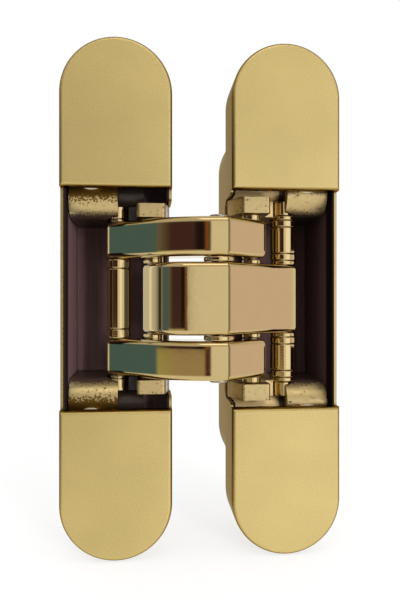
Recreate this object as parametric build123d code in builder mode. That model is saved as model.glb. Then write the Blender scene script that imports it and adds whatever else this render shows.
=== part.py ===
from build123d import *
from collections import namedtuple
from math import asin, atan2, cos, pi, radians, sin, sqrt
import os

# A concealed door hinge laid open flat: two leaves, three crossing arms and their pins.
# X runs across the leaves, Y into the timber, Z up the door edge, all in millimetres.
# The origin is midway between the frame leaf's two fixing holes, on the seat of its flange.

os.makedirs("parts", exist_ok=True)

# Leaves, with depths counted from the face of the caps into the timber
leaf_width = 24.0
leaf_length = 112.0
leaf_gap = 13.0
closed_gap = 4.0
seat_depth = 11.0
housing_depth = 27.0
deep_length = 88.0
deep_inset = 0.2
back_edge_radius = 1.5
side_wall = 1.1
floor_thickness = 1.8
pocket_corner_radius = 0.8
shelf_depth = 14.0
end_clearance = 0.3
window_depth = 14.0
window_corner_radius = 2.5
window_rim_radius = 1.4

# Caps over the fixing screws
cap_thickness = 2.4
cap_length = 32.1
cap_edge_radius = 0.8
peg_radius = 2.0
peg_length = 4.0
peg_from_end = 16.0

# Fixing holes for countersunk wood screws
fixing_pitch = 96.0
fixing_hole_radius = 2.25
fixing_head_radius = 4.5

# Pivots, set back from each leaf's inner edge
pivot_depth = 7.0
slide_depth = 9.5
frame_pivot_setback = 4.0
door_pivot_setback = 5.5
frame_slide_setback = 11.9
door_slide_setback = 13.4
crossing_offset = 3.5
crossing_depth = -1.0

# Arms, stacked along Z from the middle outwards
centre_arm_height = 15.6
arm_gap = 1.2
outer_arm_height = 8.4
crest_offset = 5.1
crest_depth = -4.6
facet_tilt = 5.0
nose_lean = 25.0
nose_radius = 7.5
shoulder_radius = 24.0
heel_radius = 3.0
end_corner_radius = 1.4
arm_edge_radius = 1.2
centre_eye_radius = 2.3
outer_eye_radius = 2.3
hub_radius = 3.4
limb_thickness = 2.7
arm_clearance = 0.5

# Pins, sleeves and rings
pivot_pin_radius = 1.4
crossing_pin_radius = 1.6
running_fit = 0.05
pin_end_height = 0.6
pin_end_radius = 0.35
rivet_head_radius = 2.15
rivet_head_height = 0.5
sleeve_radius = 2.2
sleeve_end_play = 0.1
ring_edge_radius = 0.25
crossing_washer_radius = 3.35
frame_tube_radius = 2.7
frame_ring_height = 2.0
door_bush_radius = 3.0
door_ring_radius = 2.9
door_ring_height = 0.9
door_collar_height = 1.5
roller_radius = 2.0
slot_clearance = 0.3

# Carriers that hold the pins in each leaf
frame_lug_gap = 0.6
frame_lug_thickness = 3.0
door_lug_gap = 1.8
door_lug_thickness = 3.6
lug_reach = 3.6
lug_outer_reach = 3.7
lug_inner_reach = 2.6
lug_corner_radius = 0.7
carrier_clearance = 0.3
carrier_rear_wall = 2.8
block_front_depth = 4.8
block_edge_radius = 5.0
block_overhang = 3.9
bridge_depth = 8.8
bridge_edge_radius = 3.0

# Adjusting screws that clamp the carriers
adjust_across = 5.6
adjust_height = 27.6
adjust_head_radius = 3.8
adjust_head_height = 1.7
adjust_shank_radius = 2.0
adjust_grip = 6.0
adjust_socket_flats = 3.0
adjust_socket_depth = 1.1

# Levels along Z, counted from the middle of the hinge
centre_top = centre_arm_height / 2
outer_bottom = centre_top + arm_gap
outer_top = outer_bottom + outer_arm_height
frame_lug_bottom = outer_top + frame_lug_gap
door_lug_bottom = outer_top + door_lug_gap
block_top = adjust_height + block_overhang

# Places across the hinge
face_y = -seat_depth
frame_x = 0.0
door_x = leaf_width + leaf_gap
middle_x = (frame_x + door_x) / 2
pocket_width = leaf_width - 2 * side_wall
pocket_depth = housing_depth - floor_thickness
carrier_half_width = pocket_width / 2 - carrier_clearance
slot_width = 2 * (roller_radius + slot_clearance)


def frame_point(setback, depth):
    """A point of the frame leaf, from its inner edge and its face."""
    return Vector(frame_x + leaf_width / 2 - setback, face_y + depth)


def door_point(setback, depth):
    """A point of the door leaf, from its inner edge and its face."""
    return Vector(door_x - leaf_width / 2 + setback, face_y + depth)


frame_pivot = frame_point(frame_pivot_setback, pivot_depth)
door_pivot = door_point(door_pivot_setback, pivot_depth)
frame_slide = frame_point(frame_slide_setback, slide_depth)
door_slide = door_point(door_slide_setback, slide_depth)
crossing = Vector(middle_x + crossing_offset, face_y + crossing_depth)
crest = Vector(middle_x + crest_offset, face_y + crest_depth)


def polar(angle, length=1.0):
    """A plan vector of the given heading and length."""
    return Vector(length * cos(angle), length * sin(angle))


def heading(start, end):
    """The direction from one plan point to another."""
    return atan2(end.Y - start.Y, end.X - start.X)


def turned(point, centre, angle):
    """A plan point after a turn about a centre."""
    return centre + polar(heading(centre, point) + angle, (point - centre).length)


# Shutting the hinge: the door leaf ends up facing the frame leaf across the closed gap.
# The crossing pin is then where the reach of both arms meets, on the hinge's outer side.
shut_pivot = Vector(frame_x + door_x - door_pivot.X, face_y - closed_gap - pivot_depth)
centre_reach = (crossing - frame_pivot).length
outer_reach = (crossing - door_pivot).length
pivot_span = (shut_pivot - frame_pivot).length
span_heading = heading(frame_pivot, shut_pivot)
reach_along = (pivot_span**2 + centre_reach**2 - outer_reach**2) / (2 * pivot_span)
reach_aside = sqrt(centre_reach**2 - reach_along**2)
shut_crossing = frame_pivot + polar(span_heading, reach_along)
shut_crossing += polar(span_heading - pi / 2, reach_aside)
centre_turn = heading(frame_pivot, shut_crossing) - heading(frame_pivot, crossing)
outer_turn = heading(shut_crossing, shut_pivot) - heading(crossing, door_pivot)
door_turn = -pi


def crossing_at(share):
    """The crossing pin when the hinge is this share of the way shut."""
    return turned(crossing, frame_pivot, share * centre_turn)


def frame_slide_at(share):
    """The frame slide pin's path, as the frame leaf sees it."""
    arm = frame_slide - crossing
    return crossing_at(share) + turned(arm, Vector(), share * outer_turn)


def door_slide_at(share):
    """The door slide pin's path, as the door leaf sees it."""
    arm = door_pivot - crossing
    pivot_now = crossing_at(share) + turned(arm, Vector(), share * outer_turn)
    slide_now = turned(door_slide, frame_pivot, share * centre_turn)
    return door_pivot + turned(slide_now - pivot_now, Vector(), -share * door_turn)


# What differs between the leaves. The inner side is the one that faces the other leaf. A bridge
# over the slot ties the carrier's block to its lug: on the frame leaf it stops short of the
# pivot pin, on the door leaf it runs behind the pin to the window.
Leaf = namedtuple("Leaf", "x inner pivot slide_at lug_bottom lug_top bridge_end")
leaves = {
    "frame": Leaf(
        x=frame_x,
        inner=1,
        pivot=frame_pivot,
        slide_at=frame_slide_at,
        lug_bottom=frame_lug_bottom,
        lug_top=frame_lug_bottom + frame_lug_thickness,
        bridge_end=frame_pivot.X - sleeve_radius,
    ),
    "door": Leaf(
        x=door_x,
        inner=-1,
        pivot=door_pivot,
        slide_at=door_slide_at,
        lug_bottom=door_lug_bottom,
        lug_top=door_lug_bottom + door_lug_thickness,
        bridge_end=door_x - carrier_half_width,
    ),
}


def at_depth(depth):
    """A plane parallel to the faces, seen from the front."""
    return Plane.XZ.offset(-(face_y + depth))


def rectangle_between(corner, opposite):
    """A sketch rectangle given by two opposite corners."""
    size = opposite - corner
    with Locations((corner + opposite) / 2):
        Rectangle(abs(size.X), abs(size.Y))


def make_housing(leaf):
    """A leaf's cast body."""
    pocket_half_length = leaf.lug_top + end_clearance
    shelf_half_length = block_top + end_clearance
    pocket_steps = ((shelf_depth, shelf_half_length), (pocket_depth, pocket_half_length))
    rim_y = face_y + cap_thickness
    rim_half_length = pocket_half_length + window_rim_radius + end_clearance
    half_window = [
        (rim_y - cap_thickness, rim_half_length),
        (rim_y, rim_half_length),
        (rim_y, pocket_half_length),
        (face_y + window_depth, pocket_half_length),
    ]
    half_radii = [0, 0, window_rim_radius, window_corner_radius]
    window_corners = half_window + [(y, -z) for y, z in reversed(half_window)]
    window_radii = half_radii + half_radii[::-1]
    with BuildPart() as housing:
        with BuildSketch(at_depth(seat_depth)):
            with Locations((leaf.x, 0)):
                SlotOverall(leaf_length, leaf_width, rotation=90)
        extrude(amount=seat_depth - cap_thickness)
        with BuildSketch(at_depth(housing_depth)):
            with Locations((leaf.x, 0)):
                SlotOverall(deep_length, leaf_width - 2 * deep_inset, rotation=90)
        extrude(amount=housing_depth - seat_depth)
        fillet(housing.faces().sort_by(Axis.Y)[-1].edges(), back_edge_radius)
        # Pocket for the arms, with a shelf at each end for the carrier's block
        for depth, half_length in pocket_steps:
            with BuildSketch(at_depth(depth)):
                with Locations((leaf.x, 0)):
                    RectangleRounded(pocket_width, 2 * half_length, pocket_corner_radius)
            extrude(amount=depth - cap_thickness, mode=Mode.SUBTRACT)
        # Window in the inner wall, where the arms cross from leaf to leaf, with a rounded rim
        with BuildSketch(Plane.YZ.offset(leaf.x + leaf.inner * leaf_width / 2)):
            with BuildLine():
                FilletPolyline(*window_corners, radius=window_radii, close=True)
            make_face()
        extrude(amount=-leaf.inner * 2 * side_wall, mode=Mode.SUBTRACT)
        # Fixing holes, cap peg holes and the tapped holes of the adjusting screws
        for end in (1, -1):
            with Locations(at_depth(cap_thickness)):
                with Locations((leaf.x, end * fixing_pitch / 2)):
                    CounterSinkHole(fixing_hole_radius, fixing_head_radius, counter_sink_angle=90)
                with Locations((leaf.x, end * (leaf_length / 2 - peg_from_end))):
                    Hole(peg_radius + running_fit, peg_length + end_clearance)
            with Locations(at_depth(shelf_depth)):
                with Locations((leaf.x - leaf.inner * adjust_across, end * adjust_height)):
                    Hole(adjust_shank_radius + running_fit, adjust_grip + end_clearance)
    return housing.part


def make_cap(leaf, end):
    """The rounded cover of one end of a leaf, with the peg that holds it."""
    with BuildPart() as cap:
        with BuildSketch(at_depth(cap_thickness)):
            with Locations((leaf.x, 0)):
                SlotOverall(leaf_length, leaf_width, rotation=90)
            with Locations((leaf.x, end * leaf_length / 2)):
                Rectangle(leaf_width, 2 * cap_length, mode=Mode.INTERSECT)
        extrude(amount=cap_thickness)
        fillet(cap.faces().sort_by(Axis.Y)[0].edges(), cap_edge_radius)
        with Locations(at_depth(cap_thickness)):
            with Locations((leaf.x, end * (leaf_length / 2 - peg_from_end))):
                Cylinder(peg_radius, peg_length, align=(Align.CENTER, Align.CENTER, Align.MAX))
    return cap.part


def make_carrier(leaf, end):
    """One end's carrier: pivot lug, cam slot for the slide pin, bridge and clamped block."""
    outer_x = leaf.x - leaf.inner * carrier_half_width
    inner_x = leaf.x + leaf.inner * carrier_half_width
    shelf_y = face_y + shelf_depth
    slot_start = leaf.slide_at(0)
    slot_end = leaf.slide_at(1)
    block = (outer_x, slot_start.X, block_front_depth, leaf.lug_bottom, block_edge_radius)
    bridge = (slot_start.X, leaf.bridge_end, bridge_depth, leaf.lug_top, bridge_edge_radius)
    lug_thickness = leaf.lug_top - leaf.lug_bottom
    lug_front = leaf.pivot.Y - lug_reach
    plate_front = face_y + block_front_depth + block_edge_radius
    plate_rear = slot_end.Y + slot_width / 2 + carrier_rear_wall
    lug_corners = [
        (leaf.pivot.X - leaf.inner * lug_outer_reach, plate_front),
        (leaf.pivot.X - leaf.inner * lug_outer_reach, lug_front),
        (leaf.pivot.X + leaf.inner * lug_inner_reach, lug_front),
        (leaf.x + leaf.inner * (leaf_width / 2 - carrier_clearance), plate_front),
    ]
    with BuildPart() as carrier:
        # The block and the bridge are rounded where their fronts turn towards the arms
        for start_x, end_x, front_depth, bottom, edge_radius in (block, bridge):
            front_y = face_y + front_depth
            profile = [
                (front_y, end * block_top),
                (front_y, end * bottom),
                (shelf_y, end * bottom),
                (shelf_y, end * block_top),
            ]
            with BuildSketch(Plane.YZ.offset(start_x)):
                with BuildLine():
                    FilletPolyline(*profile, radius=[0, edge_radius, 0, 0], close=True)
                make_face()
            extrude(amount=end_x - start_x)
        # A plate under the block, with the lug standing forward from it and its side splayed
        with BuildSketch(Plane.XY.offset(end * leaf.lug_bottom)):
            rectangle_between(Vector(outer_x, plate_front), Vector(inner_x, plate_rear))
            with BuildLine():
                lug_radii = [0, lug_corner_radius, lug_corner_radius, 0]
                FilletPolyline(*lug_corners, radius=lug_radii, close=True)
            make_face()
        extrude(amount=end * lug_thickness)
        # The slot follows the slide pin's path and opens to the front
        with BuildSketch(Plane.XY.offset(end * leaf.lug_bottom)):
            with BuildLine(mode=Mode.PRIVATE) as slot_path:
                ThreePointArc(slot_start, leaf.slide_at(0.5), slot_end)
            SlotArc(slot_path.wires()[0], slot_width)
            with Locations(leaf.pivot):
                Circle(pivot_pin_radius + running_fit)
        extrude(amount=end * lug_thickness, mode=Mode.SUBTRACT)
        with Locations(at_depth(block_front_depth)):
            with Locations((leaf.x - leaf.inner * adjust_across, end * adjust_height)):
                Hole(adjust_shank_radius + running_fit)
    return carrier.part


def make_adjusting_screws(leaf):
    """The two socket-head screws that clamp a leaf's carriers to its shelves."""
    shank_length = shelf_depth - block_front_depth + adjust_grip
    with BuildPart() as screws:
        for end in (1, -1):
            place = (leaf.x - leaf.inner * adjust_across, end * adjust_height)
            with Locations(at_depth(block_front_depth)):
                with Locations(place):
                    Cylinder(
                        adjust_head_radius,
                        adjust_head_height,
                        align=(Align.CENTER, Align.CENTER, Align.MIN),
                    )
                    Cylinder(
                        adjust_shank_radius,
                        shank_length,
                        align=(Align.CENTER, Align.CENTER, Align.MAX),
                    )
            with BuildSketch(at_depth(block_front_depth - adjust_head_height)):
                with Locations(place):
                    RegularPolygon(adjust_socket_flats / 2, 6, major_radius=False)
            extrude(amount=-adjust_socket_depth, mode=Mode.SUBTRACT)
    return screws.part


def make_pin(centre, radius, half_length):
    """A straight pin along Z with eased ends."""
    with BuildPart() as pin:
        with Locations(centre):
            Cylinder(radius, 2 * half_length)
        fillet(pin.edges().filter_by(GeomType.CIRCLE), pin_end_radius)
    return pin.part


def make_turned(centre, outer_radius, pin_radius, levels):
    """Turned tubes or rings on a pin, one for each pair of levels, with eased outer edges."""
    edge_radius = min(ring_edge_radius, *((high - low) / 4 for low, high in levels))
    with BuildPart() as rings:
        for low, high in levels:
            with BuildSketch(Plane.XY.offset(low)):
                with Locations(centre):
                    Circle(outer_radius)
                    Circle(pin_radius + running_fit, mode=Mode.SUBTRACT)
            extrude(amount=high - low)
        circles = rings.edges().filter_by(GeomType.CIRCLE)
        fillet(circles.group_by(SortBy.RADIUS)[-1], edge_radius)
    return rings.part


def above_and_below(*levels):
    """Pairs of levels above the middle of the hinge, and the same pairs below it."""
    return [*levels, *((-high, -low) for low, high in levels)]


# Lines of the arms in plan: the facet left of the crest, the falls to the two slide pins,
# and the backs, which run from each eye to a heel behind the crossing pin
def line_meet(point, direction, other, other_direction):
    """Where two plan lines cross, each given by a point and a heading."""
    gap = other - point
    share = sin(other_direction) * gap.X - cos(other_direction) * gap.Y
    return point + polar(direction, share / sin(other_direction - direction))


def tangent_heading(start, centre, radius, side):
    """The heading of the line from a point that just touches a circle, on one side of it."""
    return heading(start, centre) + side * asin(radius / (centre - start).length)


def arm_end(end_x, front_point, front_heading, eye_centre, eye_radius, side):
    """The two corners of an arm's square end, where its front and its back reach the end line."""
    end_line = Vector(end_x, 0)
    front_corner = line_meet(front_point, front_heading, end_line, pi / 2)
    back_heading = tangent_heading(heel, eye_centre, eye_radius, side)
    back_corner = line_meet(heel, back_heading, end_line, pi / 2)
    return front_corner, back_corner


facet_heading = pi - radians(facet_tilt)
fall_heading = tangent_heading(crest, door_slide, door_bush_radius, -1)
slope_lean = asin((sleeve_radius + arm_clearance + limb_thickness - frame_tube_radius)
                  / (frame_pivot - frame_slide).length)
slope_heading = heading(frame_slide, frame_pivot) - slope_lean
slope_foot = frame_slide - polar(slope_heading + pi / 2, frame_tube_radius)
heel = crossing + Vector(0, hub_radius + limb_thickness / 2)


def make_arm(corners, radii, bottom, top, bores, sleeve, sleeve_turn):
    """A cast arm: rounded outline, eased edges, pin bores and a scoop along a sleeve's path."""
    sleeve_path = [turned(sleeve, crossing, share * sleeve_turn) for share in (0, 0.5, 1)]
    with BuildPart() as arm:
        with BuildSketch(Plane.XY.offset(bottom)):
            with BuildLine():
                FilletPolyline(*corners, radius=radii, close=True)
            make_face()
        extrude(amount=top - bottom)
        end_faces = arm.faces().filter_by(Axis.Z)
        fillet(end_faces.edges(), arm_edge_radius)
        with BuildSketch(Plane.XY.offset(bottom)):
            for centre, radius in bores:
                with Locations(centre):
                    Circle(radius + running_fit)
            with BuildLine(mode=Mode.PRIVATE) as scoop_path:
                ThreePointArc(*sleeve_path)
            SlotArc(scoop_path.wires()[0], 2 * (sleeve_radius + arm_clearance))
        extrude(amount=top - bottom, mode=Mode.SUBTRACT)
    return arm.part


# Centre arm: from its leaning nose at the frame pivot over the crest to the door slide pin
nose_touch = frame_pivot - polar(radians(nose_lean), centre_eye_radius)
nose_heading = radians(nose_lean) - pi / 2
nose_corner = line_meet(crest, facet_heading, nose_touch, nose_heading)
centre_back = tangent_heading(heel, frame_pivot, centre_eye_radius, -1)
centre_eye_corner = line_meet(heel, centre_back, nose_touch, nose_heading)
door_end = arm_end(
    door_slide.X + door_bush_radius, crest, fall_heading, door_slide, door_bush_radius, 1
)
centre_corners = [nose_corner, crest, *door_end, heel, centre_eye_corner]
centre_radii = [
    nose_radius,
    0,
    end_corner_radius,
    door_bush_radius,
    heel_radius,
    centre_eye_radius,
]
centre_bores = [
    (frame_pivot, pivot_pin_radius),
    (crossing, crossing_pin_radius),
    (door_slide, pivot_pin_radius),
]

# Outer arms: from the door pivot over the crest and down past the frame pivot
outer_end = arm_end(
    door_pivot.X + outer_eye_radius, crest, fall_heading, door_pivot, outer_eye_radius, 1
)
frame_end = arm_end(
    frame_slide.X - frame_tube_radius,
    slope_foot,
    slope_heading,
    frame_slide,
    frame_tube_radius,
    -1,
)
shoulder = line_meet(crest, facet_heading, slope_foot, slope_heading)
outer_corners = [shoulder, crest, *outer_end, heel, *reversed(frame_end)]
outer_radii = [
    shoulder_radius,
    0,
    end_corner_radius,
    outer_eye_radius,
    heel_radius,
    frame_tube_radius,
    end_corner_radius,
]
outer_bores = [
    (frame_slide, pivot_pin_radius),
    (crossing, crossing_pin_radius),
    (door_pivot, pivot_pin_radius),
]

# Each arm turns a little on the other, so the other arm's pivot sleeve passes along its back
scissor_turn = outer_turn - centre_turn
outer_lines = (outer_corners, outer_radii)
outer_holes = (outer_bores, frame_pivot, -scissor_turn)
pieces = {
    "centre_arm": make_arm(
        centre_corners, centre_radii, -centre_top, centre_top, centre_bores, door_pivot, scissor_turn
    ),
    "outer_arm_upper": make_arm(*outer_lines, outer_bottom, outer_top, *outer_holes),
    "outer_arm_lower": make_arm(*outer_lines, -outer_top, -outer_bottom, *outer_holes),
}

# Leaves with their caps, carriers, adjusting screws, pivot pins, slide pins and rollers
for name, leaf in leaves.items():
    pieces[f"{name}_housing"] = make_housing(leaf)
    pieces[f"{name}_adjusting_screws"] = make_adjusting_screws(leaf)
    for side, end in (("upper", 1), ("lower", -1)):
        pieces[f"{name}_cap_{side}"] = make_cap(leaf, end)
        pieces[f"{name}_carrier_{side}"] = make_carrier(leaf, end)
    pieces[f"{name}_pivot_pin"] = make_pin(
        leaf.pivot, pivot_pin_radius, leaf.lug_top + pin_end_height
    )
    slide_half_length = leaf.lug_top - sleeve_end_play
    pieces[f"{name}_slide_pin"] = make_pin(leaf.slide_at(0), pivot_pin_radius, slide_half_length)
    pieces[f"{name}_slide_rollers"] = make_turned(
        leaf.slide_at(0),
        roller_radius,
        pivot_pin_radius,
        above_and_below((leaf.lug_bottom + sleeve_end_play, slide_half_length)),
    )

# Crossing pin, riveted over both outer arms, and its washers
with BuildPart() as crossing_pin:
    with Locations(crossing):
        Cylinder(crossing_pin_radius, 2 * outer_top)
    for end in (1, -1):
        with BuildSketch(Plane.XY.offset(end * outer_top)):
            with Locations(crossing):
                Circle(rivet_head_radius)
        extrude(amount=end * rivet_head_height)
    fillet(crossing_pin.edges().group_by(Axis.Z)[-1], pin_end_radius)
    fillet(crossing_pin.edges().group_by(Axis.Z)[0], pin_end_radius)
pieces["crossing_pin"] = crossing_pin.part
pieces["crossing_washers"] = make_turned(
    crossing,
    crossing_washer_radius,
    crossing_pin_radius,
    above_and_below((centre_top + sleeve_end_play, outer_bottom - sleeve_end_play)),
)

# Frame pivot: spacers from the centre arm to the lugs
pieces["frame_pivot_spacers"] = make_turned(
    frame_pivot,
    sleeve_radius,
    pivot_pin_radius,
    above_and_below((centre_top + sleeve_end_play, frame_lug_bottom - sleeve_end_play)),
)

# Door pivot: a sleeve between the outer arms and a washer under each lug
sleeve_end = outer_bottom - sleeve_end_play
pieces["door_pivot_sleeve"] = make_turned(
    door_pivot, sleeve_radius, pivot_pin_radius, [(-sleeve_end, sleeve_end)]
)
pieces["door_pivot_washers"] = make_turned(
    door_pivot,
    sleeve_radius,
    pivot_pin_radius,
    above_and_below((outer_top + sleeve_end_play, door_lug_bottom - sleeve_end_play)),
)

# Frame slide pin: tube and rings between the outer arms, and thin washers outside them
frame_ring_start = sleeve_end - frame_ring_height
frame_tube_end = frame_ring_start - sleeve_end_play
pieces["frame_slide_tube"] = make_turned(
    frame_slide, frame_tube_radius, pivot_pin_radius, [(-frame_tube_end, frame_tube_end)]
)
pieces["frame_slide_rings"] = make_turned(
    frame_slide,
    frame_tube_radius,
    pivot_pin_radius,
    above_and_below((frame_ring_start, sleeve_end)),
)
pieces["frame_slide_washers"] = make_turned(
    frame_slide,
    roller_radius,
    pivot_pin_radius,
    above_and_below((outer_top + sleeve_end_play, frame_lug_bottom - sleeve_end_play)),
)

# Door slide pin: ring, collar, bush, collar and ring from the centre arm out to each slot
inner_ring_end = centre_top + sleeve_end_play + door_ring_height
inner_collar_end = inner_ring_end + sleeve_end_play + door_collar_height
outer_ring_end = door_lug_bottom - sleeve_end_play
outer_collar_end = outer_ring_end - door_ring_height - sleeve_end_play
bush_end = outer_collar_end - door_collar_height - sleeve_end_play
pieces["door_slide_rings"] = make_turned(
    door_slide,
    door_ring_radius,
    pivot_pin_radius,
    above_and_below(
        (inner_ring_end - door_ring_height, inner_ring_end),
        (outer_ring_end - door_ring_height, outer_ring_end),
    ),
)
pieces["door_slide_collars"] = make_turned(
    door_slide,
    door_bush_radius,
    pivot_pin_radius,
    above_and_below(
        (inner_collar_end - door_collar_height, inner_collar_end),
        (outer_collar_end - door_collar_height, outer_collar_end),
    ),
)
pieces["door_slide_bushes"] = make_turned(
    door_slide,
    door_bush_radius,
    pivot_pin_radius,
    above_and_below((inner_collar_end + sleeve_end_play, bush_end)),
)

for name, piece in pieces.items():
    piece.label = name
    export_step(piece, f"parts/{name}.step")
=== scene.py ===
"""Looks of a concealed door hinge laid open: finishes, adjusting screws, stage and camera."""

import math

import bpy
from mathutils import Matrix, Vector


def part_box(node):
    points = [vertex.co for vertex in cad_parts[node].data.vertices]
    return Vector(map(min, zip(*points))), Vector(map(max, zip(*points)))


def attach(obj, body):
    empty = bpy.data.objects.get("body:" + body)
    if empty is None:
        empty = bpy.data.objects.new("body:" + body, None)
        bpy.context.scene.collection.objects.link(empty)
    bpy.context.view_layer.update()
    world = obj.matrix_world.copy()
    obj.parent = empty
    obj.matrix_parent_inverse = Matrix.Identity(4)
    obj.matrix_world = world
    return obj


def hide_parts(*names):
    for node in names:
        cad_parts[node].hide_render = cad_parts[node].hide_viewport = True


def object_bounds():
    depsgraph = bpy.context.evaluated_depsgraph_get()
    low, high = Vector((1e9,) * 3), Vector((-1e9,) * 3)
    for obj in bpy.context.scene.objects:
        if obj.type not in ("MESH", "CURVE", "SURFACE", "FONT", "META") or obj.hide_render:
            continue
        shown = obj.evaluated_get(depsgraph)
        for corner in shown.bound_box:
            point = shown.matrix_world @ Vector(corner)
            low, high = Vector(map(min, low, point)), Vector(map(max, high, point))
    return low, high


bl_info = {
    "name": "Concealed Door Hinge",
    "version": (1, 0, 0),
    "blender": (4, 5, 0),
    "location": "View3D > Sidebar > Hinge",
    "description": "Finishes a concealed door hinge and sets its stage",
    "category": "Object",
}

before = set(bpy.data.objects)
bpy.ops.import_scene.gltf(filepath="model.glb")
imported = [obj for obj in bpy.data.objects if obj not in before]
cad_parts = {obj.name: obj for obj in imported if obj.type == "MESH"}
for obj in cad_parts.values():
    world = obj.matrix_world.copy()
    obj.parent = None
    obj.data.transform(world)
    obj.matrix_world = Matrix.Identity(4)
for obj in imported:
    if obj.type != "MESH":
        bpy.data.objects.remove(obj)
cad_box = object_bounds()
middle_x = (cad_box[0][0] + cad_box[1][0]) / 2

MM = 0.001
LEAVES = ("frame", "door")
ENDS = ("upper", "lower")
# Kinds of node that most finishes use
NOISE = "ShaderNodeTexNoise"
WAVE = "ShaderNodeTexWave"
RANGE = "ShaderNodeMapRange"
MATH = "ShaderNodeMath"
MIX = "ShaderNodeMix"
RAMP = "ShaderNodeValToRGB"
AXES = "ShaderNodeSeparateXYZ"
# Noise lies mostly between these values
NOISE_SPAN = {"From Min": 0.3, "From Max": 0.7}
BLACK = (0.0, 0.0, 0.0)
WHITE = (1.0, 1.0, 1.0)
# Light from the studio's left and right sides, as polished metal shows it
TEAL = (0.094, 0.190, 0.275)
BLUSH = (0.915, 0.803, 0.900)


def linear(hex_colour):
    """A colour written as sRGB hex, as the linear values that shaders work in."""
    channels = [int(hex_colour[i : i + 2], 16) / 255 for i in (1, 3, 5)]
    return tuple(c / 12.92 if c <= 0.04045 else ((c + 0.055) / 1.055) ** 2.4 for c in channels)


def opaque(colour):
    """A colour with full alpha, for sockets and ramps that hold four values."""
    return (*colour, 1.0)


def add_node(tree, kind, inputs=None, output=None, **settings):
    """Adds a node, gives each input a value or the output that feeds it, and returns one output."""
    node = tree.nodes.new(kind)
    for name, value in settings.items():
        setattr(node, name, value)
    for key, value in (inputs or {}).items():
        socket = node.inputs[key]
        if isinstance(value, bpy.types.NodeSocket):
            tree.links.new(value, socket)
        else:
            socket.default_value = value
    if output:
        return node.outputs[output]
    return next((socket for socket in node.outputs if socket.enabled), None)


def set_ramp(ramp, stops):
    """Gives a colour ramp its stops, as (place, colour) in rising order."""
    while len(ramp.elements) > len(stops):
        ramp.elements.remove(ramp.elements[-1])
    while len(ramp.elements) < len(stops):
        ramp.elements.new(1.0)
    for element, (place, colour) in zip(ramp.elements, stops):
        element.position = place
        element.color = opaque(colour)


def new_material(name):
    """An empty material with a surface shader, and the point on the piece in its own coordinates."""
    material = bpy.data.materials.new(name)
    material.use_nodes = True
    tree = material.node_tree
    tree.nodes.clear()
    surface = add_node(tree, "ShaderNodeBsdfPrincipled")
    add_node(tree, "ShaderNodeOutputMaterial", {"Surface": surface})
    place = add_node(tree, "ShaderNodeTexCoord", output="Object")
    return material, tree, surface.node, place


def per_metre(size_mm):
    """A noise scale that gives grains of about this size."""
    return 1.0 / (size_mm * MM)


def bands_per_metre(spacing_mm):
    """A wave scale that sets bands this far apart; a wave runs through twenty radians in each unit."""
    return math.tau / (20.0 * spacing_mm * MM)


def shade(colour, share):
    """A colour made darker or lighter."""
    return opaque([min(1.0, share * channel) for channel in colour])


def finish_shader(tree, shader, colour, gloss, height, depth_mm, normal=None):
    """Joins a colour, a roughness and a relief of a real depth to a metal's shader."""
    relief = {"Height": height, "Distance": depth_mm * MM}
    if normal:
        relief["Normal"] = normal
    bump = add_node(tree, "ShaderNodeBump", relief)
    tree.links.new(colour, shader.inputs["Base Color"])
    tree.links.new(gloss, shader.inputs["Roughness"])
    tree.links.new(bump, shader.inputs["Normal"])
    shader.inputs["Metallic"].default_value = 1.0


def satin_gold_lacquer(finish):
    """Zinc cover sprayed with satin gold lacquer: metal flakes give fine grain under a soft sheen."""
    material, tree, shader, place = new_material("satin_gold_lacquer")
    # Flakes are far finer than this; they are drawn coarse enough to show as grain
    flake_size = 0.22
    cloud_size = 14.0
    flakes = add_node(
        tree,
        NOISE,
        {"Vector": place, "Scale": per_metre(flake_size), "Detail": 3.0, "Roughness": 0.7},
    )
    clouds = add_node(tree, NOISE, {"Vector": place, "Scale": per_metre(cloud_size), "Detail": 2.0})
    # Flakes count four times as much as clouds
    tone = add_node(tree, MATH, {0: flakes, 1: 4.0, 2: clouds}, operation="MULTIPLY_ADD")
    tone = add_node(tree, RANGE, {"Value": tone, "From Min": 1.7, "From Max": 3.3})
    satin = add_node(
        tree,
        MIX,
        {"Factor": tone, "A": shade(finish.cap_colour, 0.80), "B": shade(finish.cap_colour, 1.20)},
        data_type="RGBA",
    )
    # Faces turned away from the front, round the rim, are darker and glossier than the face
    way = add_node(tree, "ShaderNodeTexCoord", output="Normal")
    facing = add_node(tree, AXES, {"Vector": way}, output="Y")
    rim = add_node(tree, RANGE, {"Value": facing, "From Min": -0.97, "From Max": -0.75})
    colour = add_node(
        tree,
        MIX,
        {"Factor": rim, "A": satin, "B": opaque(finish.rim_colour)},
        data_type="RGBA",
    )
    gloss = add_node(tree, RANGE, {"Value": flakes, **NOISE_SPAN, "To Min": 0.38, "To Max": 0.48})
    gloss = add_node(tree, MATH, {0: rim, 1: -0.2, 2: gloss}, operation="MULTIPLY_ADD")
    finish_shader(tree, shader, colour, gloss, flakes, depth_mm=0.006)
    shader.inputs["Specular Tint"].default_value = opaque(finish.glance_colour)
    return material


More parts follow.
